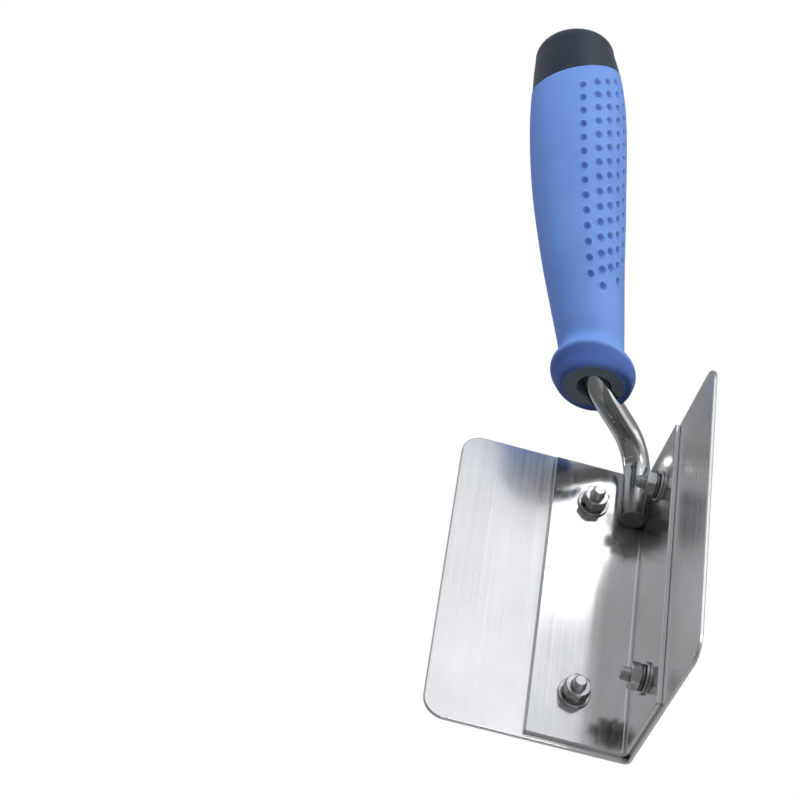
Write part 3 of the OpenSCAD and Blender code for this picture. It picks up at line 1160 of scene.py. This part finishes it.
def floor_paint():
    """Pale matt paint, faintly mottled, that is clear when seen from below."""
    s = Shader("floor_pale")
    level = 0.86
    fine = s.noise(30, detail=2.0)
    s.link(s.mix(s.range(fine, 0.3, 0.7, 0, 1), grey(level), grey(level * 0.985)), "Base Color")
    s.set(Roughness=0.7)
    clear = s.nodes.new("ShaderNodeBsdfTransparent")
    which = s.nodes.new("ShaderNodeNewGeometry")
    mix = s.nodes.new("ShaderNodeMixShader")
    s.links.new(which.outputs["Backfacing"], mix.inputs["Fac"])
    s.links.new(s.bsdf.outputs["BSDF"], mix.inputs[1])
    s.links.new(clear.outputs["BSDF"], mix.inputs[2])
    s.links.new(mix.outputs["Shader"], s.out.inputs["Surface"])
    return s.material


def build_floor():
    """A pale floor under the blade. It shows from above only, because the main view looks up from below."""
    mesh = bpy.data.meshes.new("floor")
    z = cad_box[0].z
    corners = [(x * FLOOR_HALF, y * FLOOR_HALF, z) for x, y in ((-1, -1), (1, -1), (1, 1), (-1, 1))]
    mesh.from_pydata(corners, [], [(0, 1, 2, 3)])
    mesh.materials.append(floor_paint())
    floor = bpy.data.objects.new("floor", mesh)
    bpy.context.scene.collection.objects.link(floor)
    floor.visible_glossy = False
    floor.visible_diffuse = False
    floor.visible_shadow = False


def build_world():
    """White behind the object; for light and reflections a soft studio with its bright end at +X."""
    world = bpy.data.worlds.new("studio")
    bpy.context.scene.world = world
    world.use_nodes = True
    nodes, links = world.node_tree.nodes, world.node_tree.links
    nodes.clear()
    split = nodes.new("ShaderNodeSeparateXYZ")
    links.new(nodes.new("ShaderNodeTexCoord").outputs["Generated"], split.inputs["Vector"])

    def along(axis, stops):
        """Grey that changes along one axis of the direction, from -1 to 1."""
        place = nodes.new("ShaderNodeMapRange")
        place.inputs["From Min"].default_value = -1
        links.new(split.outputs[axis], place.inputs["Value"])
        ramp = nodes.new("ShaderNodeValToRGB")
        elements = ramp.color_ramp.elements
        while len(elements) < len(stops):
            elements.new(0.5)
        for element, (position, value) in zip(elements, stops):
            element.position = (position + 1) / 2
            element.color = grey(value, STUDIO_TINT)
        links.new(place.outputs["Result"], ramp.inputs["Fac"])
        return ramp.outputs["Color"]

    def blend(kind, fac, a, b):
        node = nodes.new("ShaderNodeMix")
        node.data_type = "RGBA"
        node.blend_type = kind
        if fac is None:
            node.inputs[0].default_value = 1.0
        else:
            links.new(fac, node.inputs[0])
        links.new(a, node.inputs[6])
        links.new(b, node.inputs[7])
        return node.outputs[2]

    front = along("Z", FRONT_LIGHT)
    sideways = along("X", SIDE_LIGHT)
    back = along("Z", BACK_LIGHT)
    behind = along("Y", FRONT_TO_BACK)
    out = nodes.new("ShaderNodeOutputWorld")
    shown = nodes.new("ShaderNodeBackground")
    shown.inputs["Color"].default_value = (1, 1, 1, 1)
    light = nodes.new("ShaderNodeBackground")
    light.inputs["Strength"].default_value = STUDIO_STRENGTH
    links.new(blend("MIX", behind, blend("MULTIPLY", None, front, sideways), back), light.inputs["Color"])
    path = nodes.new("ShaderNodeLightPath")
    mix = nodes.new("ShaderNodeMixShader")
    links.new(path.outputs["Is Camera Ray"], mix.inputs["Fac"])
    links.new(light.outputs["Background"], mix.inputs[1])
    links.new(shown.outputs["Background"], mix.inputs[2])
    links.new(mix.outputs["Shader"], out.inputs["Surface"])


def area_light(name, direction, size, power, colour=(1, 1, 1), distance=PANEL_DISTANCE):
    """A soft panel that faces the middle of the object from a direction."""
    middle = (cad_box[0] + cad_box[1]) / 2
    data = bpy.data.lights.new(name, "AREA")
    data.shape = "RECTANGLE"
    data.size, data.size_y = size
    data.energy = power
    data.color = colour
    light = bpy.data.objects.new(name, data)
    bpy.context.scene.collection.objects.link(light)
    light.visible_camera = False
    towards = Vector(direction).normalized()
    light.location = middle + towards * distance
    light.rotation_euler = (-towards).to_track_quat("-Z", "Y").to_euler()
    return light


def build_lights():
    """Soft panels. The sheets don't mirror the key and the fill, and the patch is a bright spot in them."""
    key = area_light("key", (0.67, -0.67, 0.25), (0.5, 0.5), 17.5)
    fill = area_light("fill", (-0.62, -0.55, 0.45), (0.8, 0.8), 12, (0.76, 0.78, 1.0))
    for soft_only in (key, fill):
        soft_only.visible_glossy = False
    area_light("highlight", (0.88, -0.43, 0.10), (0.16, 0.5), 6.0)
    area_light("patch", (0.690, -0.424, 0.587), (0.13, 0.12), 0.12, distance=1.5)
    area_light("rim_right", (0.90, 0.40, 0.05), (0.6, 0.9), 1.6)
    area_light("rim_left", (-0.97, -0.15, 0.20), (0.12, 0.6), 1.0)
    area_light("back", (-0.30, 0.90, 0.10), (0.6, 0.6), 4)


def build_camera():
    data = bpy.data.cameras.new("camera")
    data.lens = CAMERA_LENS
    data.sensor_width = 36.0
    camera = bpy.data.objects.new("camera", data)
    bpy.context.scene.collection.objects.link(camera)
    level = math.cos(CAMERA_ELEVATION)
    back = Vector((math.sin(CAMERA_AZIMUTH) * level, -math.cos(CAMERA_AZIMUTH) * level,
                   math.sin(CAMERA_ELEVATION)))
    turn = (-back).to_track_quat("-Z", "Y").to_matrix() @ Matrix.Rotation(CAMERA_ROLL, 3, "Z")
    camera.rotation_euler = turn.to_euler()
    camera.location = CAMERA_PLACE
    bpy.context.scene.camera = camera


heights = screw_heights()
places = [screw_place(side, z) for side in (LEFT, RIGHT) for z in heights.values()]
build_sheets(places)
build_tang()
build_weld(LEFT, "weld_left")
build_weld(RIGHT, "weld_right")
dress_core()
build_grip()
build_end_cap()
build_fasteners(heights)
build_floor()
build_world()
build_lights()
build_camera()
bpy.context.scene.view_settings.view_transform = "Standard"
